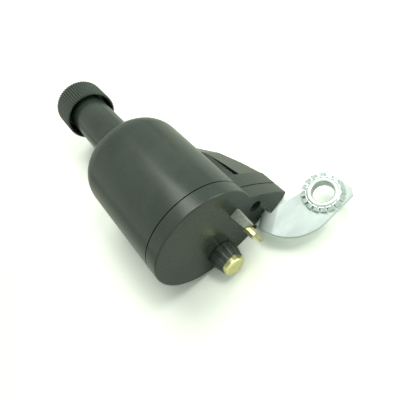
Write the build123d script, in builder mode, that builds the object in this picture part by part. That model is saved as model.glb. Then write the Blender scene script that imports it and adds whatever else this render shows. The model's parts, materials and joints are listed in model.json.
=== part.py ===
"""A bottle dynamo for a bicycle, lying on its side, with its swinging bracket.

The barrel lies along X with the friction roller towards +X. The wing that holds the
hinge and the bracket point towards -Y. Z is up, and the table is z = 0. Lengths are
millimetres. A station is a distance along the barrel from the outer face of the end
cover, and grows towards the roller.
"""
from math import atan2, cos, degrees, pi, radians, sin, sqrt, tan
import os

from build123d import *

os.makedirs("parts", exist_ok=True)

# Barrel, neck and cover
barrel_r = 20.0
barrel_wall = 2.4
barrel_end = 43.0
shoulder_length = 7.0
shoulder_drop = 4.0
cover_depth = 5.2
cover_wall = 3.0
cover_round = 0.6
gasket_t = 0.4
gasket_inset = 0.5
neck_base_r = 8.4
neck_length = 37.0
neck_mouth_r = 8.2
neck_root = 1.5
end_wall_t = 5.0
rib_count = 6
rib_w = 2.0

# Roller and its fixing
roller_r = 11.0
roller_length = 12.0
roller_skirt = 4.6
roller_wall = 1.1
roller_end_t = 4.3
roller_edge = 0.6
knurl_count = 60
knurl_depth = 0.45
core_r = 5.5
core_gap = 0.7
core_flange_t = 2.0
nut_flats = 8.0
nut_t = 2.0
nut_sunk = 0.2
thread_short = 0.3

# Spindle, bushes and rotor
shaft_r = 3.0
shaft_thread_r = 2.5
shaft_edge = 0.3
shaft_fit = 0.03
bush_r = 5.0
bush_flange_r = 7.0
bush_flange_t = 1.0
lower_bush_length = 11.5
upper_bush_length = 10.0
seal_t = 1.3
seal_fit = 0.05
felt_clear = 0.3
washer_t = 1.0
washer_r = 6.5
end_float = 0.1
hub_r = 5.2
magnet_r = 9.1
magnet_length = 18.2
magnet_edge = 0.4
hub_overhang = 1.3
clip_t = 0.8
clip_r = 4.2
clip_groove = 0.6
clip_gap = 2.5
shaft_tail = 2.0

# Stator
air_gap = 0.5
claw_t = 1.6
claw_disc_t = 1.2
claw_count = 4
claw_arc = 26.0
claw_tip_gap = 1.0
coil_t = 2.05
sleeve_t = 0.7
bobbin_wall = 0.8
coil_clear = 0.05
coil_sunk = 0.2
stator_fit = 0.1
wave_t = 0.6
spigot_t = 1.4
spigot_count = 4
spigot_arc = 26.0
spigot_turn = 52.0
seat_w = 2.5

# Wing, hinge pin and its hollow
wing_reach = 11.2
wing_bulge = 0.6
wing_top = 0.5
tip_height = 3.8
tip_flat = 1.0
tip_shelf = 1.7
tip_run = 4.2
foot_wall = 1.08
fin_taper = ((10.0, 9.3, -2.0), (21.0, 6.5, -5.0), (31.0, 1.8, -9.0))
pocket_floor = 11.0
pocket_length = 24.0
pocket_w = 3.3
pocket_slope = 14.0
pocket_toe = 2.2
pin_inset = 0.6
pin_drop = 7.3
pin_r = 2.0
pin_fit = 0.05
pin_hold = 1.2
pin_edge = 0.3
pin_recess = 2.2
pin_mouth_r = 2.3
hinge_wall = 3.2
lip_t = 1.0
far_wall = 2.0
ear_r = 3.4
ear_t = 1.5
ear_gap = 0.4
ear_space = 3.0
hinge_clear = 0.45
bulge_wall = 1.3
swing = 14.0
spring_wire_r = 0.3
spring_pitch = 0.9
spring_clear = 0.25
spring_legs = (1.0, 2.0)

# Bracket, eyelet and lock washer
bracket_t = 1.8
plate_top = 9.4
plate_out = 45.0
plate_low = 19.4
eyelet_land = 0.8
plate_neck = 4.2
ramp_out = 21.4
face_gap = 0.2
plate_waist = 35.0
plate_nose = 1.4
bow_foot = 4.0
crease_out = 25.4
crease_in = 16.0
crease_run = 6.0
ramp_slope = 43.0
ramp_start = 12.0
tang_w = 3.8
tang_in = 15.6
tongue_floor = 0.5
tongue_step = 0.3
hole_up = 7.3
hole_in = 7.0
eyelet_r = 3.6
eyelet_wall = 0.7
rim_clear = 0.1
eyelet_rim_t = 0.4
eyelet_foot_t = 0.5
lock_r = 7.0
lock_ring_r = 5.7
lock_t = 0.6
lock_fit = 0.1
lock_teeth = 16
lock_twist = 24.0
lock_tooth_w = 2.0
lock_tooth_t = 0.45
lock_play = 0.05
lock_root = 0.3

# Terminals
block_w = 3.6
block_tip_w = 2.9
block_d = 2.2
block_length = 6.7
block_slant = 20.0
block_in = 6.7
block_rise = 6.9
block_turn = -12.0
blade_shift = (0.5, -0.2)
socket_outline = (
    (1.85, -0.5), (1.7, 0.35), (0.5, 0.8), (-0.45, 0.42), (-1.1, -0.4), (-0.9, -0.9), (1.7, -0.9),
)
socket_length = 3.8
blade_w = 1.2
blade_t = 0.8
blade_length = 3.0
blade_round = 0.38
tail_fit = 0.1
tail_end = 4.0
block_edge = 0.25
stud_gap = 0.6
stud_r = 2.0
stud_fit = 0.05
stud_head_r = 4.0
stud_head_t = 1.0
stud_short = 0.5
stud_edge = 0.3
sleeve_r = 5.4
sleeve_straight = 3.0
sleeve_length = 5.9
sleeve_flutes = 10
sleeve_flute_t = 0.55
sleeve_tip_r = 4.6
brass_r = 4.0
brass_length = 8.0
brass_edge = 0.7
brass_end_t = 1.2
base_gap = 0.2
strip_w = 2.0
strip_t = 0.5
lead_v = 1.0
lead_w = 1.2
lead_hole_r = 0.9

# Stations and radii that follow from the sizes above
neck_start = barrel_end + shoulder_length
neck_end = neck_start + neck_root + neck_length
cavity_r = barrel_r - barrel_wall
cavity_end = neck_start - end_wall_t + neck_root
shell_start = cover_depth + gasket_t
roller_start = neck_end - roller_skirt
roller_end = roller_start + roller_length
core_start = roller_end - roller_end_t - core_flange_t
core_end = roller_end - nut_t - nut_sunk
hub_end = cavity_end - bush_flange_t - end_float - washer_t
hub_start = hub_end - magnet_length - 2 * hub_overhang
magnet_start = hub_start + hub_overhang
magnet_end = magnet_start + magnet_length
claw_r = magnet_r + air_gap
claw_outer_r = claw_r + claw_t
bobbin_r = claw_outer_r + stator_fit
coil_r = bobbin_r + bobbin_wall + coil_clear
bobbin_flange_r = coil_r + coil_t + coil_sunk
sleeve_inner_r = bobbin_flange_r + stator_fit
stator_r = sleeve_inner_r + sleeve_t
disc_mid_r = (claw_r + sleeve_inner_r) / 2
claw_start = magnet_start - claw_disc_t
claw_end = magnet_end + claw_disc_t
spigot_end = claw_start - wave_t
clip_station = hub_start - washer_t - clip_t
pin_out = barrel_r - pin_inset
pin_v = wing_top - pin_drop
pin_height = barrel_r + pin_v
ear_one = hinge_wall + ear_gap
ear_two = ear_one + ear_t + ear_space
hollow_end = ear_two + ear_t + ear_gap
block_end = hollow_end + far_wall
pin_end = hollow_end + pin_hold
tang_out = tang_in + tang_w
eyelet_outer_r = eyelet_r + eyelet_wall
eyelet_rim_r = lock_ring_r - lock_root - rim_clear
hole_station = hole_up - plate_low
hole_out = plate_out - hole_in
plate_high = -hole_station - eyelet_outer_r - eyelet_land
tooth_rise = lock_tooth_w / 2 * sin(radians(lock_twist)) + lock_tooth_t / 2
lock_mid = plate_top + max(tooth_rise, lock_t / 2) + lock_play
rim_low = lock_mid + lock_t / 2 + lock_play
stud_v = stud_gap + stud_head_r - cavity_r
stud_start = brass_end_t + stud_short - brass_length
lead_u = -sqrt(disc_mid_r**2 - lead_v**2)

core_flange_r = roller_r - roller_wall - core_gap

# The box around everything is centred on the origin, and the barrel lies on the table
face_x = (plate_low - roller_end) / 2
axis_y = (plate_out - barrel_r) / 2
axle = Axis((face_x, axis_y, barrel_r), (1, 0, 0))
side = Plane(origin=(face_x, axis_y, barrel_r), x_dir=(1, 0, 0), z_dir=(0, -1, 0))


def section(station):
    """The plane across the barrel at a station: local x is Y and local y is Z, from the axis."""
    return Plane(origin=(face_x + station, axis_y, barrel_r), x_dir=(0, 1, 0), z_dir=(1, 0, 0))


def level(height):
    """The horizontal plane at a height: local x is the station and local y is Y from the axis."""
    return Plane(origin=(face_x, axis_y, height), x_dir=(1, 0, 0), z_dir=(0, 0, 1))


def turn(*outline, mode=Mode.ADD):
    """Turn a closed outline of (station, radius) corners about the barrel axis."""
    with BuildSketch(side, mode=Mode.PRIVATE) as profile:
        with BuildLine():
            Polyline(*outline, close=True)
        make_face()
    revolve(profile.sketch, axis=axle, mode=mode)


def ring(start, end, inner, outer, mode=Mode.ADD):
    """Turn a plain ring between two stations and two radii."""
    turn((start, inner), (end, inner), (end, outer), (start, outer), mode=mode)


def wedges(count, arc, first):
    """Draw equal wedges round the axis, later trimmed to rings, in the open sketch."""
    reach = 2 * barrel_r
    half = reach * tan(radians(arc / 2))
    with PolarLocations(0, count, start_angle=first):
        Polygon((0, 0), (reach, -half), (reach, half), align=None)


def export(piece, name):
    """Name a finished piece and write it."""
    piece.part.label = name
    export_step(piece.part, f"parts/{name}.step")


# Reach of the hollow round the hinge, open to the table, wide enough for the bracket to swing
sweep_out = (pin_height - tongue_floor) * sin(radians(swing))
hollow_in = -tang_in + hinge_clear
hollow_out = -(tang_out + sweep_out + hinge_clear)
hollow_r = ear_r + hinge_clear

# Outline of the wing, shared by cover, gasket and barrel
wing_tip = -(barrel_r + wing_reach)
tip_v = tip_height - barrel_r
with BuildSketch(Plane.XY, mode=Mode.PRIVATE) as wing_face:
    with BuildLine():
        top = SagittaArc((wing_tip, tip_v + tip_flat), (-barrel_r + 0.1, wing_top), wing_bulge)
        Polyline(
            top @ 1, (0, wing_top), (0, -barrel_r), (hollow_out - foot_wall, -barrel_r),
            (wing_tip + tip_run, tip_shelf - barrel_r), (wing_tip + tip_shelf, tip_v - tip_shelf),
            (wing_tip, tip_v), top @ 0,
        )
    make_face()
with BuildSketch(Plane.XY, mode=Mode.PRIVATE) as outline_face:
    Circle(barrel_r)
    add(wing_face.sketch)

with BuildSketch(Plane.XY, mode=Mode.PRIVATE) as hollow_face:
    with Locations((-pin_out, pin_v)):
        Circle(hollow_r)
    with BuildLine():
        Polyline(
            (-pin_out - hollow_r, pin_v), (min(hollow_out, -pin_out - hollow_r), -barrel_r - 1),
            (hollow_in, -barrel_r - 1), (max(hollow_in, -pin_out + hollow_r), pin_v), close=True,
        )
    make_face()
with BuildSketch(Plane.XY, mode=Mode.PRIVATE) as cavity_face:
    Circle(cavity_r)
    offset(hollow_face.sketch, bulge_wall, mode=Mode.SUBTRACT)

# Barrel, shoulder, neck and the wing with its fin
with BuildPart() as body_shell:
    with BuildSketch(section(shell_start)):
        add(wing_face.sketch)
    extrude(amount=block_end - shell_start)
    for step, reach, top_v in ((0.0, wing_reach, wing_top), *fin_taper):
        with BuildSketch(section(block_end + step)):
            with BuildLine():
                Polyline(
                    (-barrel_r / 2, -barrel_r), (tip_run - barrel_r - reach, -barrel_r),
                    (1.0 - barrel_r - reach, tip_shelf - barrel_r), (-barrel_r - reach, tip_v),
                    (-sqrt(barrel_r**2 - top_v**2) + 0.2, top_v), (-barrel_r / 2, top_v), close=True,
                )
            make_face()
    loft(ruled=True)
    pocket_rise = barrel_r - pocket_floor + 2
    for height, widen in ((pocket_floor, 0.0), (pocket_floor + pocket_rise, pocket_rise)):
        grow = widen * tan(radians(pocket_slope))
        with BuildSketch(level(height)):
            with BuildLine():
                Polyline(
                    (block_end, -barrel_r + 1.5), (block_end, -barrel_r - pocket_w - grow),
                    (block_end + pocket_length + grow, -barrel_r - pocket_toe - grow / 3),
                    (block_end + pocket_length + grow, -barrel_r + 1.5), close=True,
                )
            make_face()
    loft(ruled=True, mode=Mode.SUBTRACT)
    with BuildSketch(side):
        with BuildLine():
            shoulder = EllipticalCenterArc(
                (barrel_end, barrel_r - shoulder_drop), shoulder_length, shoulder_drop,
                start_angle=0, arc_size=90,
            )
            Polyline(
                shoulder @ 0, (neck_start + neck_root, neck_base_r), (neck_end, neck_mouth_r),
                (neck_end, 0), (shell_start, 0), (shell_start, barrel_r), shoulder @ 1,
            )
        make_face()
    revolve(axis=axle)
    with BuildSketch(section(shell_start)):
        add(cavity_face.sketch)
    extrude(amount=block_end - shell_start, mode=Mode.SUBTRACT)
    turn(
        (block_end, 0), (block_end, cavity_r), (barrel_end, cavity_r), (claw_end, stator_r + stator_fit),
        (claw_end, stator_r - seat_w), (cavity_end, stator_r - seat_w), (cavity_end, 0), mode=Mode.SUBTRACT,
    )
    ring(cavity_end - 1, neck_end + 1, 0, bush_r, mode=Mode.SUBTRACT)
    with BuildSketch(section(claw_start)):
        with PolarLocations(cavity_r, rib_count):
            Rectangle(2 * (cavity_r - stator_r - stator_fit), rib_w)
        Circle(cavity_r + 0.2, mode=Mode.INTERSECT)
    extrude(amount=barrel_end - claw_start)
    with BuildSketch(section(shell_start - 1)):
        add(hollow_face.sketch)
    extrude(amount=hollow_end - shell_start + 1, mode=Mode.SUBTRACT)
    with BuildSketch(section(hollow_end - 0.5)):
        with Locations((-pin_out, pin_v)):
            Circle(pin_r + pin_fit)
    extrude(amount=pin_hold + 0.6, mode=Mode.SUBTRACT)
export(body_shell, "body_shell")

# Opening in the cover's front lip, as wide as the tang needs through its swing
crease_run_u = crease_out - crease_in
crease_length = sqrt(crease_run**2 + crease_run_u**2)
along = (-crease_run / crease_length, crease_run_u / crease_length)
downhill = (along[1], -along[0])

# The ramp's top face is an arc that steepens from the crease down to the tongue
tongue_top = tongue_floor + bracket_t
ramp_drop = plate_top - tongue_top
ramp_run = ramp_drop / tan(radians(ramp_slope))
ramp_r = ramp_drop / sin(radians(ramp_slope)) / 2 / sin(radians(ramp_slope - ramp_start))
ramp_centre = (-ramp_r * sin(radians(ramp_start)), -ramp_r * cos(radians(ramp_start)))


def ramp_v(station, u):
    """Height of the ramp's top face over the barrel axis, at a station and a Y from the axis."""
    run = (station + plate_neck) * downhill[0] + (u + crease_out) * downhill[1]
    if run > ramp_run:
        return tongue_top - barrel_r
    return plate_top - barrel_r + ramp_centre[1] + sqrt(ramp_r**2 - (run - ramp_centre[0]) ** 2)


def swung(u, v):
    """Where a point of the bracket comes to when the bracket is at its full swing."""
    turn_by = radians(-swing)
    out, down = u + pin_out, v - pin_v
    return (
        out * cos(turn_by) - down * sin(turn_by) - pin_out,
        out * sin(turn_by) + down * cos(turn_by) + pin_v,
    )


tang_corner = swung(-tang_out, ramp_v(0, -tang_out))
heel_corner = swung(-tang_out, tongue_floor - barrel_r)
notch_wall = tang_corner[0] - hinge_clear
notch_bend = -crease_out + (ramp_run - plate_neck * downhill[0]) / downhill[1]
with BuildSketch(Plane.XY, mode=Mode.PRIVATE) as notch_face:
    with BuildLine():
        Polyline(
            (hollow_in, -barrel_r - 1), (hollow_in, tongue_top - barrel_r + 2 * hinge_clear),
            (notch_bend + hinge_clear, tongue_top - barrel_r + 2 * hinge_clear),
            (-tang_out, ramp_v(0, -tang_out) + 2 * hinge_clear),
            (notch_wall, tang_corner[1] + 2 * hinge_clear),
            (heel_corner[0] - hinge_clear, -barrel_r - 1), close=True,
        )
    make_face()

# Where the terminals stand on the cover
block_place = Location((block_in - pin_out, pin_v + block_rise, 0), (0, 0, block_turn))
blade_place = block_place * Location((*blade_shift, 0))

# End cover with its half of the wing, and the fingers that hold the stator in
with BuildPart() as end_cover:
    with BuildSketch(section(0)):
        add(wing_face.sketch)
    extrude(amount=cover_depth)
    with BuildSketch(side):
        with BuildLine():
            rim = CenterArc((cover_round, barrel_r - cover_round), cover_round, 90, 90)
            Polyline(rim @ 1, (0, 0), (cover_depth, 0), (cover_depth, barrel_r), rim @ 0)
        make_face()
    revolve(axis=axle)
    with BuildSketch(section(cover_wall)):
        add(cavity_face.sketch)
    extrude(amount=cover_depth, mode=Mode.SUBTRACT)
    with BuildSketch(section(cover_wall - 0.5)):
        wedges(spigot_count, spigot_arc, spigot_turn)
        Circle(stator_r, mode=Mode.INTERSECT)
        Circle(stator_r - spigot_t, mode=Mode.SUBTRACT)
    extrude(amount=spigot_end - cover_wall + 0.5)
    with BuildSketch(section(hinge_wall)):
        add(hollow_face.sketch)
    extrude(amount=cover_depth, mode=Mode.SUBTRACT)
    with BuildSketch(section(lip_t)):
        add(hollow_face.sketch)
        with Locations((0, -barrel_r)):
            Rectangle(4 * barrel_r, 2 * (ear_r + tang_w - 1), mode=Mode.INTERSECT)
    extrude(amount=hinge_wall, mode=Mode.SUBTRACT)
    with BuildSketch(section(-1)):
        add(notch_face.sketch)
    extrude(amount=lip_t + 1.5, mode=Mode.SUBTRACT)
    with BuildSketch(section(-1)):
        with Locations((-pin_out, pin_v)):
            Circle(pin_mouth_r)
    extrude(amount=pin_recess + 1, mode=Mode.SUBTRACT)
    with BuildSketch(section(-1)):
        with Locations((-pin_out, pin_v)):
            Circle(pin_r + pin_fit)
        with Locations((0, stud_v)):
            Circle(stud_r + stud_fit)
        with Locations(blade_place):
            Rectangle(blade_w + 2 * tail_fit, blade_t + 2 * tail_fit)
    extrude(amount=hinge_wall + 2, mode=Mode.SUBTRACT)
export(end_cover, "end_cover")

# Gasket in the seam, set back from the outside all round
with BuildPart() as cover_gasket:
    with BuildSketch(section(cover_depth)):
        offset(outline_face.sketch, -gasket_inset)
        add(cavity_face.sketch, mode=Mode.SUBTRACT)
        add(hollow_face.sketch, mode=Mode.SUBTRACT)
    extrude(amount=gasket_t)
export(cover_gasket, "cover_gasket")

# Bushes, felt and seal in the neck
with BuildPart() as lower_bush:
    bush_in = shaft_r + shaft_fit
    turn(
        (cavity_end - bush_flange_t, bush_in), (cavity_end + lower_bush_length, bush_in),
        (cavity_end + lower_bush_length, bush_r), (cavity_end, bush_r),
        (cavity_end, bush_flange_r), (cavity_end - bush_flange_t, bush_flange_r),
    )
export(lower_bush, "lower_bush")

upper_bush_end = neck_end - seal_t - end_float
upper_bush_start = upper_bush_end - upper_bush_length
with BuildPart() as upper_bush:
    ring(upper_bush_start, upper_bush_end, bush_in, bush_r)
export(upper_bush, "upper_bush")

with BuildPart() as oil_felt:
    ring(
        cavity_end + lower_bush_length + end_float, upper_bush_start - end_float,
        shaft_r + felt_clear, bush_r - seal_fit,
    )
export(oil_felt, "oil_felt")

with BuildPart() as dust_seal:
    ring(neck_end - seal_t, neck_end, shaft_r + seal_fit, bush_r)
export(dust_seal, "dust_seal")

# Stator: two claw plates round the coil, inside the sleeve
for name, start, inward, first in (
    ("claw_plate_lower", claw_start, 1, 180.0 / claw_count),
    ("claw_plate_upper", claw_end, -1, 0.0),
):
    with BuildPart() as claw_plate:
        root = start + inward * claw_disc_t
        tip = (claw_end if inward > 0 else claw_start) - inward * (claw_disc_t + claw_tip_gap)
        ring(min(start, root), max(start, root), claw_r, sleeve_inner_r)
        with BuildSketch(section(min(root, tip))):
            wedges(claw_count, claw_arc, first)
            Circle(claw_outer_r, mode=Mode.INTERSECT)
            Circle(claw_r, mode=Mode.SUBTRACT)
        extrude(amount=abs(tip - root))
        with BuildSketch(section(claw_start - 1)):
            with Locations((lead_u, lead_v)):
                Circle(lead_hole_r)
        extrude(amount=claw_disc_t + 2, mode=Mode.SUBTRACT)
    export(claw_plate, name)

with BuildPart() as stator_sleeve:
    ring(claw_start, claw_end, sleeve_inner_r, stator_r)
export(stator_sleeve, "stator_sleeve")

bobbin_start = claw_start + claw_disc_t + stator_fit
bobbin_end = claw_end - claw_disc_t - stator_fit
with BuildPart() as coil_bobbin:
    turn(
        (bobbin_start, bobbin_r), (bobbin_end, bobbin_r), (bobbin_end, bobbin_flange_r),
        (bobbin_end - bobbin_wall, bobbin_flange_r), (bobbin_end - bobbin_wall, bobbin_r + bobbin_wall),
        (bobbin_start + bobbin_wall, bobbin_r + bobbin_wall),
        (bobbin_start + bobbin_wall, bobbin_flange_r), (bobbin_start, bobbin_flange_r),
    )
export(coil_bobbin, "coil_bobbin")

with BuildPart() as coil_winding:
    ring(
        bobbin_start + bobbin_wall + coil_clear, bobbin_end - bobbin_wall - coil_clear,
        coil_r, coil_r + coil_t,
    )
export(coil_winding, "coil_winding")

with BuildPart() as wave_washer:
    ring(spigot_end, claw_start, stator_r - spigot_t, stator_r)
export(wave_washer, "wave_washer")

# Spindle with the magnet below and the roller above
with BuildPart() as shaft:
    shaft_start = clip_station - shaft_tail
    groove_r = shaft_r - clip_groove
    turn(
        (shaft_start, 0), (shaft_start, shaft_r - shaft_edge), (shaft_start + shaft_edge, shaft_r),
        (clip_station, shaft_r), (clip_station, groove_r), (clip_station + clip_t, groove_r),
        (clip_station + clip_t, shaft_r), (core_start, shaft_r), (core_start, shaft_thread_r),
        (roller_end - thread_short - shaft_edge, shaft_thread_r),
        (roller_end - thread_short, shaft_thread_r - shaft_edge),
        (roller_end - thread_short, 0),
    )
export(shaft, "shaft")

with BuildPart() as magnet_hub:
    ring(hub_start, hub_end, shaft_r, hub_r)
export(magnet_hub, "magnet_hub")

with BuildPart() as magnet:
    ring(magnet_start, magnet_end, hub_r, magnet_r)
    fillet(magnet.edges().filter_by(GeomType.CIRCLE).group_by(SortBy.RADIUS)[-1], magnet_edge)
export(magnet, "magnet")

with BuildPart() as retaining_ring:
    ring(clip_station, clip_station + clip_t, groove_r, clip_r)
    with BuildSketch(section(clip_station - 1)):
        with Locations((0, clip_r / 2 + groove_r / 2)):
            Rectangle(clip_gap, clip_r)
    extrude(amount=clip_t + 2, mode=Mode.SUBTRACT)
export(retaining_ring, "retaining_ring")

with BuildPart() as hub_washer:
    ring(clip_station + clip_t, hub_start, shaft_r, hub_r)
export(hub_washer, "hub_washer")

with BuildPart() as thrust_washer:
    ring(hub_end, hub_end + washer_t, shaft_r, washer_r)
export(thrust_washer, "thrust_washer")

with BuildPart() as neck_washer:
    ring(neck_end + end_float, core_start, shaft_r, bush_r - seal_fit)
export(neck_washer, "neck_washer")

# Friction roller: a knurled cup on a flanged core, held by a nut sunk in its end
with BuildPart() as roller_core:
    turn(
        (core_start, shaft_thread_r), (core_end, shaft_thread_r), (core_end, core_r),
        (core_start + core_flange_t, core_r), (core_start + core_flange_t, core_flange_r),
        (core_start, core_flange_r),
    )
export(roller_core, "roller_core")

with BuildPart() as roller:
    pitch = 2 * pi / knurl_count
    flank = ((-0.42, 0), (-0.18, 1), (0.18, 1), (0.42, 0))
    knurl = [
        (
            (roller_r - knurl_depth * (1 - height)) * cos(pitch * (tooth + place)),
            (roller_r - knurl_depth * (1 - height)) * sin(pitch * (tooth + place)),
        )
        for tooth in range(knurl_count)
        for place, height in flank
    ]
    with BuildSketch(section(roller_start)):
        with BuildLine():
            Polyline(*knurl, close=True)
        make_face()
    extrude(amount=roller_length)
    turn(
        (roller_end - roller_edge, roller_r), (roller_end, roller_r - roller_edge),
        (roller_end + 1, roller_r - roller_edge), (roller_end + 1, roller_r + 1),
        (roller_end - roller_edge, roller_r + 1), mode=Mode.SUBTRACT,
    )
    cup_r = roller_r - roller_wall
    turn(
        (roller_start - 1, 0), (roller_start - 1, cup_r), (core_start + core_flange_t, cup_r),
        (core_start + core_flange_t, core_r), (roller_end + 1, core_r), (roller_end + 1, 0),
        mode=Mode.SUBTRACT,
    )
export(roller, "roller")

with BuildPart() as roller_nut:
    with BuildSketch(section(core_end)):
        RegularPolygon(nut_flats / 2, 6, major_radius=False)
        Circle(shaft_thread_r, mode=Mode.SUBTRACT)
    extrude(amount=nut_t)
export(roller_nut, "roller_nut")

# Hinge pin and its torsion spring
with BuildPart() as hinge_pin:
    with BuildSketch(section(pin_recess)):
        with Locations((-pin_out, pin_v)):
            Circle(pin_r)
    extrude(amount=pin_end - pin_recess)
    chamfer(hinge_pin.edges().filter_by(GeomType.CIRCLE), pin_edge)
export(hinge_pin, "hinge_pin")

turn_r = pin_r + spring_clear + spring_wire_r
spring_start = ear_one + ear_t + 2 * spring_wire_r
spring_length = ear_two - 2 * spring_wire_r - spring_start
with BuildPart() as torsion_spring:
    with BuildLine():
        turns = Helix(
            pitch=spring_pitch, height=spring_length, radius=turn_r,
            center=(face_x + spring_start, axis_y - pin_out, pin_height), direction=(1, 0, 0),
        )
    with BuildSketch(Plane(origin=turns @ 0, z_dir=turns % 0)):
        Circle(spring_wire_r)
    sweep(path=turns, is_frenet=True)
    for end, leg in enumerate(spring_legs):
        with BuildSketch(Plane(origin=turns @ end, z_dir=(turns % end) * (2 * end - 1))):
            Circle(spring_wire_r)
        extrude(amount=leg)
export(torsion_spring, "torsion_spring")

# Terminals: a plug blade in its block, and a stud with a fluted thumb nut
with BuildSketch(Plane.XY, mode=Mode.PRIVATE) as socket_face:
    with Locations(blade_place):
        Polygon(*socket_outline, align=None)
blade_end = block_tip_w / 2 * tan(radians(block_slant)) - block_length - socket_length
block_end_plane = Plane(
    section(-block_length).location * block_place * Location((0, 0, 0), (0, -block_slant, 0))
)
with BuildPart() as terminal_block:
    with BuildSketch(section(0)):
        with Locations(block_place):
            Rectangle(block_w, block_d)
    with BuildSketch(block_end_plane):
        Rectangle(block_tip_w, block_d)
    loft(ruled=True)
    fillet(terminal_block.edges().group_by(Axis.X)[1:-1], block_edge)
    with BuildSketch(section(blade_end)):
        with Locations(blade_place):
            Rectangle(blade_w, blade_t)
    extrude(amount=-blade_end, mode=Mode.SUBTRACT)
export(terminal_block, "terminal_block")

with BuildPart() as live_blade:
    with BuildSketch(section(blade_end)):
        add(socket_face.sketch)
    extrude(amount=socket_length)
    add(terminal_block.part, mode=Mode.SUBTRACT)
    with BuildSketch(section(blade_end - blade_length)):
        with Locations(blade_place):
            Rectangle(blade_w, blade_t)
    extrude(amount=blade_length - blade_end + tail_end)
    fillet(live_blade.faces().sort_by(Axis.X)[0].edges().sort_by(SortBy.LENGTH)[:2], blade_round)
export(live_blade, "live_blade")

with BuildPart() as live_strip:
    with BuildSketch(section(cover_wall)):
        with Locations((blade_place.position.X, blade_place.position.Y)):
            Rectangle(2 * strip_w, 2 * strip_w)
        with Locations((lead_u, lead_v)):
            Rectangle(strip_t, lead_w)
        make_hull()
        with Locations(blade_place):
            Rectangle(blade_w, blade_t, mode=Mode.SUBTRACT)
    extrude(amount=strip_t)
    with BuildSketch(section(cover_wall)):
        with Locations((lead_u, lead_v)):
            Rectangle(strip_t, lead_w)
    extrude(amount=bobbin_start - cover_wall)
export(live_strip, "live_strip")

with BuildPart() as earth_stud:
    with BuildSketch(section(stud_start)):
        with Locations((0, stud_v)):
            Circle(stud_r)
    extrude(amount=cover_wall + strip_t - stud_start)
    with BuildSketch(section(cover_wall + strip_t)):
        with Locations((0, stud_v)):
            Circle(stud_head_r)
    extrude(amount=stud_head_t)
    chamfer(earth_stud.faces().sort_by(Axis.X)[0].edges(), stud_edge)
export(earth_stud, "earth_stud")

leg_u = stud_head_r + strip_t / 2
leg_v = -sqrt(disc_mid_r**2 - leg_u**2)
with BuildPart() as earth_strip:
    with BuildSketch(section(cover_wall)):
        with Locations((0, stud_v)):
            Circle(stud_head_r)
        with Locations((leg_u, leg_v)):
            Rectangle(strip_t, strip_w)
        make_hull()
        with Locations((0, stud_v)):
            Circle(stud_r, mode=Mode.SUBTRACT)
    extrude(amount=strip_t)
    with BuildSketch(section(cover_wall)):
        with Locations((leg_u, leg_v)):
            Rectangle(strip_t, strip_w)
    extrude(amount=claw_start - cover_wall)
export(earth_strip, "earth_strip")

flute_steps = 6
with BuildPart() as nut_sleeve:
    for station, reach in (
        (-base_gap, sleeve_r), (-sleeve_straight, sleeve_r), (-sleeve_length, sleeve_tip_r),
    ):
        lobes = [
            (
                (reach - sleeve_flute_t * (1 - sin(pi * step / flute_steps))) * cos(angle),
                (reach - sleeve_flute_t * (1 - sin(pi * step / flute_steps))) * sin(angle),
            )
            for lobe in range(sleeve_flutes)
            for step in range(flute_steps)
            for angle in (2 * pi * (lobe + step / flute_steps) / sleeve_flutes,)
        ]
        with BuildSketch(section(station)):
            with Locations((0, stud_v)):
                Polygon(*lobes, align=None)
    loft(ruled=True)
    with BuildSketch(section(-sleeve_length - 1)):
        with Locations((0, stud_v)):
            Circle(brass_r)
    extrude(amount=sleeve_length + 2, mode=Mode.SUBTRACT)
export(nut_sleeve, "nut_sleeve")

with BuildPart() as earth_nut:
    with BuildSketch(section(-brass_length)):
        with Locations((0, stud_v)):
            Circle(brass_r)
    extrude(amount=brass_length - base_gap)
    fillet(earth_nut.faces().sort_by(Axis.X)[0].edges(), brass_edge)
    with BuildSketch(section(brass_end_t - brass_length)):
        with Locations((0, stud_v)):
            Circle(stud_r + stud_fit)
    extrude(amount=brass_length, mode=Mode.SUBTRACT)
export(earth_nut, "earth_nut")

# Bracket: the plate, the ramp that drops from its crease, and the tongue with two ears
crease = Plane(
    origin=level(plate_top).from_local_coords(Vector(-plate_neck, -crease_out, 0)),
    x_dir=(downhill[0], downhill[1], 0), z_dir=(-along[0], -along[1], 0),
)
ramp_turn = 2 * (ramp_slope - ramp_start)
bow_r = plate_low - bow_foot
tongue_start = lip_t + tongue_step
with BuildSketch(Plane.XY, mode=Mode.PRIVATE) as bracket_face:
    with BuildLine():
        bow = RadiusArc(
            (-plate_low, -tang_in - bow_r), (-bow_foot, -tang_in), bow_r,
        )
        Polyline(
            bow @ 1, (-face_gap, -tang_in), (-face_gap, -ramp_out), (-plate_neck, -ramp_out),
            (-plate_neck, -crease_out - 1), (-plate_high, -plate_waist),
            (-plate_high, -plate_out + plate_nose), (-plate_high - plate_nose, -plate_out),
            (-plate_low + plate_nose, -plate_out), (-plate_low, -plate_out + plate_nose), bow @ 0,
        )
    make_face()
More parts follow.
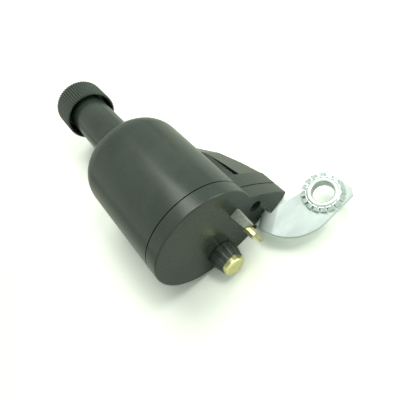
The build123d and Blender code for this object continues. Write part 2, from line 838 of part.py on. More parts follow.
with BuildPart() as bracket:
    with BuildSketch(crease):
        with BuildLine():
            outside = CenterArc(ramp_centre, ramp_r, 90 - ramp_start, -ramp_turn)
            inside = CenterArc(ramp_centre, ramp_r - bracket_t, 90 - ramp_start, -ramp_turn)
            Line(outside @ 0, inside @ 0)
            Line(outside @ 1, inside @ 1)
        make_face()
        with Locations((ramp_run - bracket_t, -ramp_drop)):
            Rectangle(plate_out, bracket_t, align=(Align.MIN, Align.MAX))
    extrude(amount=2 * crease_length, both=True)
    with BuildSketch(level(tongue_floor)):
        add(bracket_face.sketch)
        with Locations(((tongue_start - face_gap + 1) / 2, -tang_in - tang_w / 2)):
            Rectangle(tongue_start + face_gap + 1, tang_w)
    extrude(amount=plate_top - tongue_floor, mode=Mode.INTERSECT)
    with BuildSketch(level(plate_top)):
        add(bracket_face.sketch)
        with Locations(Location((-plate_neck, -crease_out, 0), (0, 0, degrees(atan2(along[1], along[0]))))):
            with Locations((crease_length / 2, plate_out)):
                Rectangle(10 * crease_length, 2 * plate_out, mode=Mode.INTERSECT)
    extrude(amount=-bracket_t)
    with BuildSketch(level(tongue_floor)):
        with Locations(((tongue_start + ear_two + ear_t) / 2, -tang_in - tang_w / 2)):
            Rectangle(ear_two + ear_t - tongue_start, tang_w)
    extrude(amount=bracket_t)
    for ear in (ear_one, ear_two):
        with BuildSketch(section(ear)):
            with Locations((-pin_out, pin_v)):
                Circle(ear_r)
            with Locations((-tang_in - tang_w / 2, tongue_floor + bracket_t / 2 - barrel_r)):
                Rectangle(tang_w, bracket_t)
            make_hull()
        extrude(amount=ear_t)
    with BuildSketch(section(ear_one)):
        with Locations((-pin_out, pin_v)):
            Circle(pin_r + pin_fit)
    extrude(amount=ear_two + ear_t - ear_one, mode=Mode.SUBTRACT)
    with BuildSketch(level(plate_top)):
        with Locations((hole_station, -hole_out)):
            Circle(eyelet_outer_r)
    extrude(amount=-bracket_t, mode=Mode.SUBTRACT)
export(bracket, "bracket")

# Eyelet through the plate, with the toothed lock washer free to turn under its rim
with BuildPart() as eyelet:
    hole = Axis(level(0).from_local_coords(Vector(hole_station, -hole_out, 0)), (0, 0, 1))
    foot = plate_top - bracket_t - eyelet_foot_t
    with BuildSketch(Plane(origin=hole.position, x_dir=(1, 0, 0), z_dir=(0, -1, 0))):
        with BuildLine():
            Polyline(
                (eyelet_r, foot), (eyelet_rim_r, foot), (eyelet_rim_r, foot + eyelet_foot_t),
                (eyelet_outer_r, foot + eyelet_foot_t), (eyelet_outer_r, rim_low), (eyelet_rim_r, rim_low),
                (eyelet_rim_r, rim_low + eyelet_rim_t / 2),
                (eyelet_rim_r - eyelet_rim_t / 2, rim_low + eyelet_rim_t),
                (eyelet_r + eyelet_rim_t / 2, rim_low + eyelet_rim_t),
                (eyelet_r, rim_low + eyelet_rim_t / 2), close=True,
            )
        make_face()
    revolve(axis=hole)
export(eyelet, "eyelet")

with BuildPart() as lock_washer:
    with BuildSketch(level(lock_mid - lock_t / 2)):
        with Locations((hole_station, -hole_out)):
            Circle(lock_ring_r)
            Circle(eyelet_outer_r + lock_fit, mode=Mode.SUBTRACT)
    extrude(amount=lock_t)
    tooth_length = lock_r - lock_ring_r + lock_root
    with Locations(level(lock_mid).location * Location((hole_station, -hole_out, 0))):
        with PolarLocations(lock_r - tooth_length / 2, lock_teeth):
            Box(tooth_length, lock_tooth_w, lock_tooth_t, rotation=(lock_twist, 0, 0))
export(lock_washer, "lock_washer")
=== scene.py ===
"""Looks for the bottle dynamo: its visible pieces, its finishes, and a plain light stage."""
import json
import math

import bmesh
import bpy
from mathutils import Matrix, Vector


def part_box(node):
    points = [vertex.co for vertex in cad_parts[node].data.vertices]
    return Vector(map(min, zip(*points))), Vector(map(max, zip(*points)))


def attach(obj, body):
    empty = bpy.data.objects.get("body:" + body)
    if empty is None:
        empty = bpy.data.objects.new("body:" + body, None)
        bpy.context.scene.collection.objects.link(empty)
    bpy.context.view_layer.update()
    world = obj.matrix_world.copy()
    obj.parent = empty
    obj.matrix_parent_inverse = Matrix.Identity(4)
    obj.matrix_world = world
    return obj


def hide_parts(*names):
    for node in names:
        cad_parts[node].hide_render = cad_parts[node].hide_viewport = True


bl_info = {
    "name": "Bottle Dynamo",
    "version": (1, 0, 0),
    "blender": (4, 5, 0),
    "location": "View3D > Sidebar > Dynamo",
    "description": "Builds the visible pieces, the finishes and the stage of a bicycle dynamo",
    "category": "Object",
}

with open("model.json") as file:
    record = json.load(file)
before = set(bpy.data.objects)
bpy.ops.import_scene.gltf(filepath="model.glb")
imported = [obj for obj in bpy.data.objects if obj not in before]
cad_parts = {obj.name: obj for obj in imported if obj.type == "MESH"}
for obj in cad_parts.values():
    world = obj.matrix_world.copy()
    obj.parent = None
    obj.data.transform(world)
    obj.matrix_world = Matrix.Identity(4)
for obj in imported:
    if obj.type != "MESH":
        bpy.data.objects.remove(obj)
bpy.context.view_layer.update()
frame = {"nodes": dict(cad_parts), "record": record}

MM = 0.001
# An edge whose faces turn by less than this is shaded smooth
SHARP = math.radians(32)
# Just over the most that two faces can turn, in degrees
HALF_TURN = 181
# Faces that turn by less than this are one flat face, and corners this near are one corner
FLAT = math.radians(0.6)
MERGE = 1e-6
LATHE_MERGE = 1e-7
ROUND_STEPS = 72


# Mesh helpers

def middle(box):
    """The middle of a node's box."""
    return (box[0] + box[1]) / 2


def lathe(bm, profile, centre, axis, steps):
    """Spins a closed profile of (distance along the axis, radius) corners."""
    axis = Vector(axis)
    out = axis.orthogonal().normalized()
    corners = [bm.verts.new(centre + axis * along + out * radius) for along, radius in profile]
    edges = [bm.edges.new(pair) for pair in zip(corners, corners[1:] + corners[:1])]
    bmesh.ops.spin(
        bm, geom=corners + edges, cent=centre, axis=axis, angle=math.tau, steps=steps, use_merge=True
    )
    bmesh.ops.remove_doubles(bm, verts=bm.verts, dist=LATHE_MERGE)


def merged_copy(node):
    """A copy of a CAD node's mesh, joined up, with its flat faces whole."""
    bm = bmesh.new()
    bm.from_mesh(frame["nodes"][node].data)
    bmesh.ops.remove_doubles(bm, verts=bm.verts, dist=MERGE)
    bmesh.ops.dissolve_limit(bm, angle_limit=FLAT, verts=bm.verts, edges=bm.edges)
    return bm


def soften(bm, low, high, width, segments):
    """Rounds every edge whose faces turn by an angle between the two, in degrees."""
    edges = [edge for edge in bm.edges if low < math.degrees(edge.calc_face_angle(0)) < high]
    bmesh.ops.bevel(
        bm, geom=edges, offset=width, segments=segments, profile=0.5, affect="EDGES", clamp_overlap=True,
        material=-1,
    )


def softened_piece(name, node, body, slot, width, segments=3, low=32):
    """A copy of a CAD node with its sharp edges rounded, which stands for the node."""
    bm = merged_copy(node)
    soften(bm, low, HALF_TURN, width, segments)
    return finish_piece(name, bm, body, slot, slot_finish(slot), node)


def finish_piece(name, bm, body, slot, material, *nodes):
    """Turns a bmesh into a piece that rides on a body and stands for CAD nodes."""
    bmesh.ops.recalc_face_normals(bm, faces=bm.faces)
    for edge in bm.edges:
        edge.smooth = edge.calc_face_angle(0) < SHARP
    for face in bm.faces:
        face.smooth = True
    mesh = bpy.data.meshes.new(name)
    bm.to_mesh(mesh)
    bm.free()
    mesh.materials.append(material)
    piece = bpy.data.objects.new(name, mesh)
    bpy.context.scene.collection.objects.link(piece)
    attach(piece, body)
    if nodes:
        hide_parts(*nodes)
    weigh = piece.modifiers.new("Weighted Normal", "WEIGHTED_NORMAL")
    weigh.keep_sharp = True
    return piece


# Finish helpers

def wire(tree, *pairs):
    """Links pairs of sockets."""
    for start, end in pairs:
        tree.links.new(start, end)


def remap(nodes, low, high, start=0.0, end=1.0):
    """A node that takes the range from low to high to the one from start to end."""
    node = nodes.new("ShaderNodeMapRange")
    for label, value in (("From Min", low), ("From Max", high), ("To Min", start), ("To Max", end)):
        node.inputs[label].default_value = value
    return node


def product(nodes):
    """A node that multiplies two numbers."""
    node = nodes.new("ShaderNodeMath")
    node.operation = "MULTIPLY"
    return node


def mixer(nodes, kind):
    """A node that mixes two colours or two numbers."""
    node = nodes.new("ShaderNodeMix")
    node.data_type = kind
    return node


def shade(color, share):
    """A colour times a share."""
    return tuple(part * share for part in color)


def surface_group():
    """The node group that mottles, grains and dusts a surface."""
    name = "Surface Variation"
    if name in bpy.data.node_groups:
        return bpy.data.node_groups[name]
    group = bpy.data.node_groups.new(name, "ShaderNodeTree")
    for direction, sockets in (
        ("INPUT", (
            ("Vector", "NodeSocketVector"), ("Base", "NodeSocketColor"), ("Patch", "NodeSocketColor"),
            ("Dust", "NodeSocketColor"), ("Patch Scale", "NodeSocketFloat"),
            ("Grain Scale", "NodeSocketFloat"), ("Dust Amount", "NodeSocketFloat"),
            ("Roughness Low", "NodeSocketFloat"), ("Roughness High", "NodeSocketFloat"),
        )),
        ("OUTPUT", (
            ("Color", "NodeSocketColor"), ("Roughness", "NodeSocketFloat"), ("Height", "NodeSocketFloat"),
        )),
    ):
        for label, kind in sockets:
            group.interface.new_socket(name=label, in_out=direction, socket_type=kind)
    nodes = group.nodes
    inward = nodes.new("NodeGroupInput")
    outward = nodes.new("NodeGroupOutput")
    patch = nodes.new("ShaderNodeTexNoise")
    patch.inputs["Detail"].default_value = 4.0
    patch.inputs["Roughness"].default_value = 0.6
    # Noise keeps near its middle, so the mask spreads that part of its range
    patch_mask = remap(nodes, 0.35, 0.65)
    grain = nodes.new("ShaderNodeTexNoise")
    grain.inputs["Detail"].default_value = 2.0
    # Specks sit at the middle of cells about three times as wide as the grain, in a few cells only
    speck_scale = product(nodes)
    speck_scale.inputs[1].default_value = 0.35
    speck = nodes.new("ShaderNodeTexVoronoi")
    speck.feature = "F1"
    speck_mask = remap(nodes, 0.05, 0.12, 1.0, 0.0)
    few = remap(nodes, 0.62, 0.68)
    speck_on = product(nodes)
    dust_on = product(nodes)
    mottle = mixer(nodes, "RGBA")
    dusty = mixer(nodes, "RGBA")
    rough = mixer(nodes, "FLOAT")
    wire(
        group,
        (inward.outputs["Vector"], patch.inputs["Vector"]),
        (inward.outputs["Vector"], grain.inputs["Vector"]),
        (inward.outputs["Vector"], speck.inputs["Vector"]),
        (inward.outputs["Patch Scale"], patch.inputs["Scale"]),
        (inward.outputs["Grain Scale"], grain.inputs["Scale"]),
        (inward.outputs["Grain Scale"], speck_scale.inputs[0]),
        (speck_scale.outputs[0], speck.inputs["Scale"]),
        (speck.outputs["Distance"], speck_mask.inputs["Value"]),
        (patch.outputs["Fac"], patch_mask.inputs["Value"]),
        (speck.outputs["Color"], few.inputs["Value"]),
        (speck_mask.outputs["Result"], speck_on.inputs[0]),
        (few.outputs["Result"], speck_on.inputs[1]),
        (speck_on.outputs[0], dust_on.inputs[0]),
        (inward.outputs["Dust Amount"], dust_on.inputs[1]),
        (patch_mask.outputs["Result"], mottle.inputs["Factor"]),
        (inward.outputs["Base"], mottle.inputs["A"]),
        (inward.outputs["Patch"], mottle.inputs["B"]),
        (dust_on.outputs[0], dusty.inputs["Factor"]),
        (mottle.outputs["Result"], dusty.inputs["A"]),
        (inward.outputs["Dust"], dusty.inputs["B"]),
        (patch_mask.outputs["Result"], rough.inputs["Factor"]),
        (inward.outputs["Roughness Low"], rough.inputs["A"]),
        (inward.outputs["Roughness High"], rough.inputs["B"]),
        (dusty.outputs["Result"], outward.inputs["Color"]),
        (rough.outputs["Result"], outward.inputs["Roughness"]),
        (grain.outputs["Fac"], outward.inputs["Height"]),
    )
    return group


def finish(name, base, patch, metallic=0.0, rough=(0.35, 0.5), patch_scale=60.0, grain_scale=2500.0,
           grain_depth=0.02, dust=0.0, dust_color=(0.6, 0.6, 0.58), stretch=(1, 1, 1), specular=0.5):
    """A material with mottled colour, fine grain and, where asked, specks of dust."""
    if name in bpy.data.materials:
        return bpy.data.materials[name]
    material = bpy.data.materials.new(name)
    material.use_nodes = True
    tree = material.node_tree
    shader = tree.nodes["Principled BSDF"]
    place = tree.nodes.new("ShaderNodeTexCoord")
    mapping = tree.nodes.new("ShaderNodeMapping")
    mapping.inputs["Scale"].default_value = stretch
    vary = tree.nodes.new("ShaderNodeGroup")
    vary.node_tree = surface_group()
    vary.inputs["Base"].default_value = (*base, 1)
    vary.inputs["Patch"].default_value = (*patch, 1)
    vary.inputs["Dust"].default_value = (*dust_color, 1)
    vary.inputs["Patch Scale"].default_value = patch_scale
    vary.inputs["Grain Scale"].default_value = grain_scale
    vary.inputs["Dust Amount"].default_value = dust
    vary.inputs["Roughness Low"].default_value = rough[0]
    vary.inputs["Roughness High"].default_value = rough[1]
    bump = tree.nodes.new("ShaderNodeBump")
    bump.inputs["Strength"].default_value = 0.5
    bump.inputs["Distance"].default_value = grain_depth * MM
    shader.inputs["Metallic"].default_value = metallic
    shader.inputs["Specular IOR Level"].default_value = specular
    wire(
        tree,
        (place.outputs["Object"], mapping.inputs["Vector"]),
        (mapping.outputs["Vector"], vary.inputs["Vector"]),
        (vary.outputs["Color"], shader.inputs["Base Color"]),
        (vary.outputs["Roughness"], shader.inputs["Roughness"]),
        (vary.outputs["Height"], bump.inputs["Height"]),
        (bump.outputs["Normal"], shader.inputs["Normal"]),
    )
    return material


ZINC_DUST = (0.45, 0.47, 0.5)


def black_plastic():
    """Black moulded plastic of the barrel, cover, roller and nut sleeve."""
    look = bpy.context.scene.dynamo_finish
    return finish(
        "Black Moulded Plastic", look.plastic, shade(look.plastic, 1.6), rough=(0.21, 0.32),
        patch_scale=45, grain_scale=3800, grain_depth=0.02, dust=0.5,
    )


def shaded_brass_copy():
    """Brass darkened for the blade, a shaded copy of the yellow brass: painted shade."""
    look = bpy.context.scene.dynamo_finish
    # The blade's colours are the brass's darkened to 0.62 and 0.4: painted shade for its shaded sides
    return finish(
        "Dull Brass", shade(look.brass, 0.62), shade(look.brass, 0.4), metallic=1.0, rough=(0.2, 0.4),
        patch_scale=500, grain_scale=1800, grain_depth=0.02,
    )


def zinc_plate():
    """Bright blue-white zinc plating of the bracket."""
    look = bpy.context.scene.dynamo_finish
    return finish(
        "Zinc Plate", look.zinc, shade(look.zinc, 0.88), metallic=0.08, rough=(0.42, 0.56), patch_scale=190,
        grain_scale=1500, grain_depth=0.02, dust=0.25, dust_color=ZINC_DUST, specular=0.3,
        stretch=(1, 0.35, 1),
    )


def shiny_zinc_with_painted_shade():
    """Harder, shinier zinc plating of the eyelet and the toothed washer; its colour is the zinc's darkened,
    which is painted shade.
    """
    look = bpy.context.scene.dynamo_finish
    # More metallic and smoother than the plate, and darker: the darker colour is painted shade for the
    # shaded teeth and gaps
    return finish(
        "Bright Zinc", shade(look.zinc, 0.86), shade(look.zinc, 0.66), metallic=0.65, rough=(0.24, 0.38),
        patch_scale=260, grain_scale=1500, grain_depth=0.02, dust=0.25, dust_color=ZINC_DUST,
    )


def grained_plastic():
    """Grained grey-black plastic of the terminal block."""
    look = bpy.context.scene.dynamo_finish
    return finish(
        "Grained Plastic", look.block, shade(look.block, 0.7), rough=(0.5, 0.65), patch_scale=900,
        grain_scale=1500, grain_depth=0.08, dust=0.3,
    )


def yellow_brass():
    """Bare brass of the thumb nut, its stud and the strips inside."""
    look = bpy.context.scene.dynamo_finish
    return finish(
        "Yellow Brass", look.brass, shade(look.brass, 0.8), metallic=1.0, rough=(0.26, 0.38),
        patch_scale=300, grain_scale=1800, grain_depth=0.01,
    )


INNER_FINISHES = {
    "plain_steel": dict(base=(0.5, 0.5, 0.51), patch=(0.4, 0.4, 0.42), metallic=1.0, rough=(0.25, 0.4),
                        patch_scale=220),
    "core_iron": dict(base=(0.3, 0.3, 0.31), patch=(0.22, 0.21, 0.21), metallic=1.0, rough=(0.45, 0.6),
                      patch_scale=140),
    "bronze": dict(base=(0.42, 0.27, 0.13), patch=(0.3, 0.2, 0.1), metallic=1.0, rough=(0.4, 0.55),
                   grain_depth=0.04),
    "copper_wire": dict(base=(0.62, 0.26, 0.12), patch=(0.5, 0.18, 0.08), metallic=1.0, rough=(0.2, 0.35),
                        grain_scale=900, stretch=(4, 1, 1), grain_depth=0.1),
    "ferrite": dict(base=(0.06, 0.06, 0.065), patch=(0.1, 0.1, 0.1), rough=(0.5, 0.7), grain_depth=0.05),
    "light_metal": dict(base=(0.62, 0.63, 0.65), patch=(0.52, 0.53, 0.56), metallic=1.0, rough=(0.3, 0.45)),
    "white_plastic": dict(base=(0.72, 0.7, 0.64), patch=(0.66, 0.64, 0.57), rough=(0.35, 0.5)),
    "seal_rubber": dict(base=(0.012, 0.012, 0.012), patch=(0.02, 0.02, 0.02), rough=(0.7, 0.85),
                        grain_depth=0.04),
    "felt": dict(base=(0.5, 0.47, 0.38), patch=(0.4, 0.36, 0.28), rough=(0.9, 1.0), grain_scale=1200,
                 grain_depth=0.3),
}
FINISH_NAMES = {
    "plain_steel": "Plain Steel", "core_iron": "Core Iron", "bronze": "Sintered Bronze",
    "copper_wire": "Copper Wire", "ferrite": "Ferrite", "light_metal": "Turned Light Metal",
    "white_plastic": "White Plastic", "seal_rubber": "Seal Rubber", "felt": "Oiled Felt",
}


def slot_finish(slot):
    """The finish for one of the record's material slots."""
    if slot == "black_plastic":
        return black_plastic()
    if slot == "zinc_steel":
        return zinc_plate()
    if slot == "yellow_brass":
        return yellow_brass()
    return finish(FINISH_NAMES[slot], **INNER_FINISHES[slot])


# Settings

class DynamoFinish(bpy.types.PropertyGroup):
    """Colours of the finishes that show."""

    plastic: bpy.props.FloatVectorProperty(
        name="Plastic", description="Colour of the black plastic", subtype="COLOR", size=3, min=0, max=1,
        default=(0.023, 0.035, 0.026),
    )
    zinc: bpy.props.FloatVectorProperty(
        name="Zinc", description="Colour of the zinc plating", subtype="COLOR", size=3, min=0, max=1,
        default=(0.72, 0.83, 0.79),
    )
    brass: bpy.props.FloatVectorProperty(
        name="Brass", description="Colour of the brass", subtype="COLOR", size=3, min=0, max=1,
        default=(1.0, 0.95, 0.47),
    )
    block: bpy.props.FloatVectorProperty(
        name="Block", description="Colour of the terminal block", subtype="COLOR", size=3, min=0, max=1,
        default=(0.4, 0.45, 0.37),
    )


class DynamoRoller(bpy.types.PropertyGroup):
    """Sizes of the knurled roller."""

    ribs: bpy.props.IntProperty(name="Ribs", description="Ribs round the roller", default=60, min=12)
    depth: bpy.props.FloatProperty(
        name="Rib Depth", description="How far the ribs stand out", unit="LENGTH", precision=5,
        default=0.45 * MM,
    )
    skirt: bpy.props.FloatProperty(
        name="Skirt Wall", description="Wall of the skirt over the neck", unit="LENGTH", precision=5,
        default=1.1 * MM,
    )
    web: bpy.props.FloatProperty(
        name="End Thickness", description="Thickness of the roller's closed end", unit="LENGTH",
        precision=5, default=4.3 * MM,
    )
    bore: bpy.props.FloatProperty(
        name="Bore", description="Radius of the hole that the core fills", unit="LENGTH", precision=5,
        default=5.5 * MM,
    )


class DynamoBracket(bpy.types.PropertyGroup):
    """Sizes of the bracket's edges and bend, and of the washer's teeth."""

    edge: bpy.props.FloatProperty(
        name="Edge", description="Rounding of the plate's stamped edges", unit="LENGTH", precision=5,
        default=0.3 * MM,
    )
    bend: bpy.props.FloatProperty(
        name="Bend", description="Width of the soft bend at the crease", unit="LENGTH", precision=5,
        default=1.1 * MM,
    )
    teeth: bpy.props.IntProperty(name="Teeth", description="Teeth of the washer", default=16, min=6)
    twist: bpy.props.FloatProperty(
        name="Twist", description="Turn of each tooth about its own length", subtype="ANGLE",
        default=math.radians(22),
    )


class DynamoStage(bpy.types.PropertyGroup):
    """Camera, floor and lamps."""

    camera_place: bpy.props.FloatVectorProperty(
        name="Camera Place", description="Where the camera stands", subtype="TRANSLATION", unit="LENGTH",
        size=3, precision=4, default=(-0.095315, 0.003948, 0.131035),
    )
    lens: bpy.props.FloatProperty(
        name="Lens", description="Focal length of the camera", unit="CAMERA", default=34.578
    )
    floor_size: bpy.props.FloatProperty(
        name="Floor Size", description="Side of the square floor", unit="LENGTH", default=3.0
    )
    key_power: bpy.props.FloatProperty(
        name="Key Lamp", description="Power of the large lamp above", unit="POWER", default=1.25
    )
    front_power: bpy.props.FloatProperty(
        name="Front Lamp", description="Power of the small lamp on the bracket's side", unit="POWER",
        default=0.42,
    )
    side_power: bpy.props.FloatProperty(
        name="Side Lamp", description="Power of the lamp beside the cover", unit="POWER", default=0.12
    )
    sky: bpy.props.FloatProperty(
        name="Sky", description="Strength of the light from all round", min=0, default=0.3
    )


# The stage

CAMERA_AHEAD = Vector((0.53494699, 0.00669766, -0.84485907))
CAMERA_RIGHT = Vector((-0.59527362, -0.70663312, -0.3825166))
CAMERA_UP = Vector((0.59956737, -0.70754842, 0.37402432))
SENSOR_WIDTH = 36.0
CLIP_START = 0.005
# Each lamp is a name, its place, what it faces, its side, the setting with its power, and its colour
LAMPS = (
    ("Key Lamp", (0.12, -0.16, 0.46), (0.0, 0.0, 0.02), 0.3, "key_power", (1.0, 1.0, 0.97)),
    ("Front Lamp", (-0.12, -0.2, 0.4), (-0.03, -0.01, 0.01), 0.1, "front_power", (1.0, 1.0, 0.97)),
    ("Side Lamp", (-0.15, -0.15, 0.06), (-0.04, -0.02, 0.015), 0.08, "side_power", (0.97, 1.0, 0.96)),
)


def lamp(name, place, target, size, power, color):
    """Hangs a square lamp that faces a target."""
    data = bpy.data.lights.new(name, "AREA")
    data.size = size
    data.energy = power
    data.color = color
    obj = bpy.data.objects.new(name, data)
    place = Vector(place)
    obj.location = place
    obj.rotation_euler = (Vector(target) - place).to_track_quat("-Z", "Y").to_euler()
    bpy.context.scene.collection.objects.link(obj)


def by_ray(tree, kind, output, lit, mirrored, seen):
    """Fills a tree with one shader for the light, one for mirrored rays and one for the camera."""
    tree.nodes.clear()
    shaders = []
    for color in (lit, mirrored, seen):
        shader = tree.nodes.new(kind)
        shader.inputs["Color"].default_value = (*color, 1)
        shaders.append(shader)
    path = tree.nodes.new("ShaderNodeLightPath")
    glossy = tree.nodes.new("ShaderNodeMixShader")
    pick = tree.nodes.new("ShaderNodeMixShader")
    out = tree.nodes.new(output)
    wire(
        tree,
        (path.outputs["Is Glossy Ray"], glossy.inputs[0]),
        (shaders[0].outputs[0], glossy.inputs[1]),
        (shaders[1].outputs[0], glossy.inputs[2]),
        (path.outputs["Is Camera Ray"], pick.inputs[0]),
        (glossy.outputs[0], pick.inputs[1]),
        (shaders[2].outputs[0], pick.inputs[2]),
        (pick.outputs[0], out.inputs["Surface"]),
    )
    return shaders[0]


def floor_finish():
    """A matt floor that shows white where nothing shades it."""
    material = bpy.data.materials.new("Pale Floor")
    material.use_nodes = True
    by_ray(
        material.node_tree, "ShaderNodeBsdfDiffuse", "ShaderNodeOutputMaterial",
        lit=(0.8, 0.82, 0.78), mirrored=(0.85, 0.92, 0.78), seen=(1.42, 1.52, 1.36),
    )
    return material


def sky(strength):
    """White to the camera, soft and even for the light."""
    world = bpy.data.worlds.new("Sky")
    world.use_nodes = True
    soft = by_ray(
        world.node_tree, "ShaderNodeBackground", "ShaderNodeOutputWorld",
        lit=(0.97, 1.0, 0.96), mirrored=(0.9, 1.0, 0.86), seen=(1.0, 1.0, 1.0),
    )
    soft.inputs["Strength"].default_value = strength
    return world


# Operators

class DYNAMO_OT_roller(bpy.types.Operator):
    """Build the knurled roller round its core"""

    bl_idname = "dynamo.roller"
    bl_label = "Roller"

    def execute(self, context):
        size = context.scene.dynamo_roller
        low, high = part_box("roller")
        centre = middle((low, high))
        radius = (high.z - low.z) / 2
        cup = radius - size.skirt
        length = high.x - low.x
        # Below 1 this makes the crests of the ribs wider than their grooves
        fullness = 0.6
        # Each ring is a distance from the skirt's rim, a radius, and how much of the ribs it shows
        rings = (
            (0.0, cup + 0.3 * MM, 0.0), (0.0, radius - 0.5 * MM, 0.6), (0.08 * MM, radius - 0.2 * MM, 1.0),
            (0.3 * MM, radius, 1.0), (length - 0.6 * MM, radius, 1.0),
            (length - 0.25 * MM, radius - 0.15 * MM, 1.0), (length - 0.05 * MM, radius - 0.45 * MM, 0.7),
            (length, radius - 0.9 * MM, 0.0), (length, size.bore + 0.2 * MM, 0.0),
            (length - 0.2 * MM, size.bore, 0.0), (length - size.web, size.bore, 0.0),
            (length - size.web, cup - 0.4 * MM, 0.0), (length - size.web - 0.4 * MM, cup, 0.0),
            (0.3 * MM, cup, 0.0),
        )
        bm = bmesh.new()
        steps_per_rib = 8
        bmesh.ops.create_circle(bm, segments=size.ribs * steps_per_rib, radius=1.0)
        bmesh.ops.rotate(
            bm, verts=bm.verts, cent=(0, 0, 0), matrix=Matrix.Rotation(math.radians(90), 3, "Y")
        )
        first = list(bm.edges)
        loop = first
        for number, (along, reach, share) in enumerate(rings):
            if number:
                made = bmesh.ops.extrude_edge_only(bm, edges=loop)["geom"]
                loop = [part for part in made if isinstance(part, bmesh.types.BMEdge)]
            for vert in {vert for edge in loop for vert in edge.verts}:
                # The first circle still stands round the origin, and every later one round the roller
                across = vert.co - centre if number else vert.co
                angle = math.atan2(across.z, across.y)
                crest = 0.5 + 0.5 * math.cos(angle * size.ribs)
                depth = size.depth * share * (1 - crest**fullness)
                vert.co = (
                    low.x + along,
                    centre.y + (reach - depth) * math.cos(angle),
                    centre.z + (reach - depth) * math.sin(angle),
                )
        bmesh.ops.bridge_loops(bm, edges=first + loop)
        finish_piece("knurled_roller", bm, "rotor", "black_plastic", black_plastic(), "roller")
        return {"FINISHED"}


class DYNAMO_OT_bracket(bpy.types.Operator):
    """Build the bracket with a soft bend at its crease and rounded stamped edges"""

    bl_idname = "dynamo.bracket"
    bl_label = "Bracket"

    def execute(self, context):
        size = context.scene.dynamo_bracket
        bm = merged_copy("bracket")
        soften(bm, 30, 60, size.bend, segments=6)
        soften(bm, 60, HALF_TURN, size.edge, segments=3)
        finish_piece("bent_bracket", bm, "bracket_arm", "zinc_steel", zinc_plate(), "bracket")
        return {"FINISHED"}


class DYNAMO_OT_washer(bpy.types.Operator):
    """Build the rolled eyelet and the toothed washer round it"""

    bl_idname = "dynamo.washer"
    bl_label = "Eyelet and Washer"

    def execute(self, context):
        size = context.scene.dynamo_bracket
        low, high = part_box("eyelet")
        centre = middle((low, high))
        hole, wall = 3.6 * MM, 0.7 * MM
        top_lip, foot_lip = 0.4 * MM, 0.5 * MM
        rim = (high.x - low.x) / 2
        tube = hole + wall
        tall = (high.z - low.z) / 2
        top, foot = tall - top_lip, foot_lip - tall
        # The corners go round the foot's lip, up the hole and round the rolled lip at the top
        bm = bmesh.new()
        lathe(
            bm,
            (
                (foot, tube), (foot, rim - 0.05 * MM), (foot - 0.15 * MM, rim), (foot - 0.35 * MM, rim),
                (-tall, rim - 0.2 * MM), (-tall, hole + 0.25 * MM), (-tall + 0.25 * MM, hole),
                (top - 0.1 * MM, hole), (top + 0.22 * MM, hole + 0.16 * MM), (tall, hole + 0.5 * MM),
                (tall, rim - 0.6 * MM), (tall - 0.1 * MM, rim - 0.2 * MM), (top + 0.12 * MM, rim),
                (top, rim - 0.1 * MM), (top, tube),
            ),
            centre, (0, 0, 1), ROUND_STEPS,
        )
        # The eyelet takes the darkened zinc: painted shade
        finish_piece("rolled_eyelet", bm, "bracket_arm", "zinc_steel", shiny_zinc_with_painted_shade(), "eyelet")

        low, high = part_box("lock_washer")
        centre = middle((low, high))
        outer = (high.x - low.x) / 2
        band, inner, half = 5.7 * MM, 4.4 * MM, 0.3 * MM
        band_edge, inner_edge = 0.1 * MM, 0.08 * MM
        bm = bmesh.new()
        lathe(
            bm,
            (
                (-half, inner + inner_edge), (-half, band - band_edge), (band_edge - half, band),
                (half - band_edge, band), (half, band - band_edge), (half, inner + inner_edge),
                (half - inner_edge, inner), (inner_edge - half, inner),
            ),
            centre, (0, 0, 1), ROUND_STEPS,
        )
        root_width, tip_width, thickness = 1.85 * MM, 2.35 * MM, 0.5 * MM
        tooth_edge, overlap, clearance = 0.12 * MM, 0.3 * MM, 0.02 * MM
        reach = outer - band + overlap
        for number in range(size.teeth):
            made = bmesh.ops.create_cube(bm, size=1.0)["verts"]
            for vert in made:
                width = tip_width if vert.co.x > 0 else root_width
                vert.co = (vert.co.x * reach, vert.co.y * width, vert.co.z * thickness)
            edges = list({edge for vert in made for edge in vert.link_edges})
            made = bmesh.ops.bevel(
                bm, geom=edges, offset=tooth_edge, segments=2, profile=0.5, affect="EDGES",
                clamp_overlap=True, material=-1,
            )["verts"]
            place = (
                Matrix.Translation(centre)
                @ Matrix.Rotation(math.tau * number / size.teeth, 4, "Z")
                @ Matrix.Translation((outer - reach / 2 - clearance, 0, 0))
                @ Matrix.Rotation(size.twist, 4, "X")
            )
            bmesh.ops.transform(bm, matrix=place, verts=made)
        # The washer takes the darkened zinc: painted shade
        finish_piece("toothed_washer", bm, "washer_ring", "zinc_steel", shiny_zinc_with_painted_shade(), "lock_washer")
        return {"FINISHED"}


class DYNAMO_OT_mouldings(bpy.types.Operator):
    """Round the moulded edges of the end cover, and of the barrel with its wing"""

    bl_idname = "dynamo.mouldings"
    bl_label = "Mouldings"

    def execute(self, context):
        for name, node, width, low in (
            ("moulded_cover", "end_cover", 0.3 * MM, 40), ("moulded_shell", "body_shell", 0.35 * MM, 22),
        ):
            softened_piece(name, node, "housing", "black_plastic", width, segments=2, low=low)
        return {"FINISHED"}


class DYNAMO_OT_terminals(bpy.types.Operator):
    """Round the edges of the blade, and of the fluted sleeve on the thumb nut"""

    bl_idname = "dynamo.terminals"
    bl_label = "Terminals"

    def execute(self, context):
        blade = softened_piece("stepped_blade", "live_blade", "housing", "yellow_brass", 0.08 * MM)
        # The blade takes the darkened brass: painted shade
        blade.data.materials[0] = shaded_brass_copy()
        softened_piece("fluted_sleeve", "nut_sleeve", "thumb_nut", "black_plastic", 0.18 * MM)
        return {"FINISHED"}


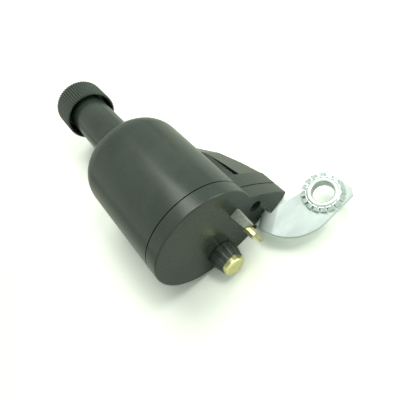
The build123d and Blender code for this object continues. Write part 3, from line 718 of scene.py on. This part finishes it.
class DYNAMO_OT_finishes(bpy.types.Operator):
    """Give every CAD node the finish of its material slot"""

    bl_idname = "dynamo.finishes"
    bl_label = "Finishes"

    def execute(self, context):
        for subpart in frame["record"]["subparts"]:
            node = frame["nodes"][subpart["node"]]
            node.data.materials.clear()
            node.data.materials.append(slot_finish(subpart["material_slot"]))
        frame["nodes"]["terminal_block"].material_slots[0].material = grained_plastic()
        return {"FINISHED"}


class DYNAMO_OT_stage(bpy.types.Operator):
    """Set the camera, the pale floor, the sky and the lamps"""

    bl_idname = "dynamo.stage"
    bl_label = "Stage"

    def execute(self, context):
        stage = context.scene.dynamo_stage
        scene = context.scene
        scene.view_settings.view_transform = "Standard"

        data = bpy.data.cameras.new("Camera")
        data.lens = stage.lens
        data.sensor_width = SENSOR_WIDTH
        data.clip_start = CLIP_START
        camera = bpy.data.objects.new("Camera", data)
        turn = Matrix((CAMERA_RIGHT, CAMERA_UP, -CAMERA_AHEAD)).transposed().to_4x4()
        camera.matrix_world = Matrix.Translation(stage.camera_place) @ turn
        scene.collection.objects.link(camera)
        scene.camera = camera

        bm = bmesh.new()
        bmesh.ops.create_grid(bm, x_segments=1, y_segments=1, size=stage.floor_size / 2)
        mesh = bpy.data.meshes.new("Floor")
        bm.to_mesh(mesh)
        bm.free()
        mesh.materials.append(floor_finish())
        floor = bpy.data.objects.new("Floor", mesh)
        scene.collection.objects.link(floor)

        scene.world = sky(stage.sky)
        for name, place, target, size, power, color in LAMPS:
            lamp(name, place, target, size, getattr(stage, power), color)
        return {"FINISHED"}


class DYNAMO_PT_panel(bpy.types.Panel):
    """Buttons and settings of the dynamo"""

    bl_idname = "DYNAMO_PT_panel"
    bl_label = "Bottle Dynamo"
    bl_space_type = "VIEW_3D"
    bl_region_type = "UI"
    bl_category = "Dynamo"

    def draw(self, context):
        layout = self.layout
        for operator in OPERATORS:
            layout.operator(operator.bl_idname)
        for name in GROUPS:
            settings = getattr(context.scene, name)
            box = layout.box()
            for prop in settings.bl_rna.properties:
                if prop.identifier not in ("name", "rna_type"):
                    box.prop(settings, prop.identifier)


GROUPS = {
    "dynamo_finish": DynamoFinish,
    "dynamo_roller": DynamoRoller,
    "dynamo_bracket": DynamoBracket,
    "dynamo_stage": DynamoStage,
}
OPERATORS = (
    DYNAMO_OT_finishes,
    DYNAMO_OT_roller,
    DYNAMO_OT_bracket,
    DYNAMO_OT_washer,
    DYNAMO_OT_mouldings,
    DYNAMO_OT_terminals,
    DYNAMO_OT_stage,
)


def register():
    for cls in (*GROUPS.values(), *OPERATORS, DYNAMO_PT_panel):
        bpy.utils.register_class(cls)
    for name, cls in GROUPS.items():
        setattr(bpy.types.Scene, name, bpy.props.PointerProperty(type=cls))


def unregister():
    for name in GROUPS:
        delattr(bpy.types.Scene, name)
    for cls in reversed((*GROUPS.values(), *OPERATORS, DYNAMO_PT_panel)):
        bpy.utils.unregister_class(cls)


def main():
    """Register everything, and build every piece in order."""
    register()
    for operator in OPERATORS:
        group, name = operator.bl_idname.split(".")
        getattr(getattr(bpy.ops, group), name)()


if __name__ == "__main__":
    main()
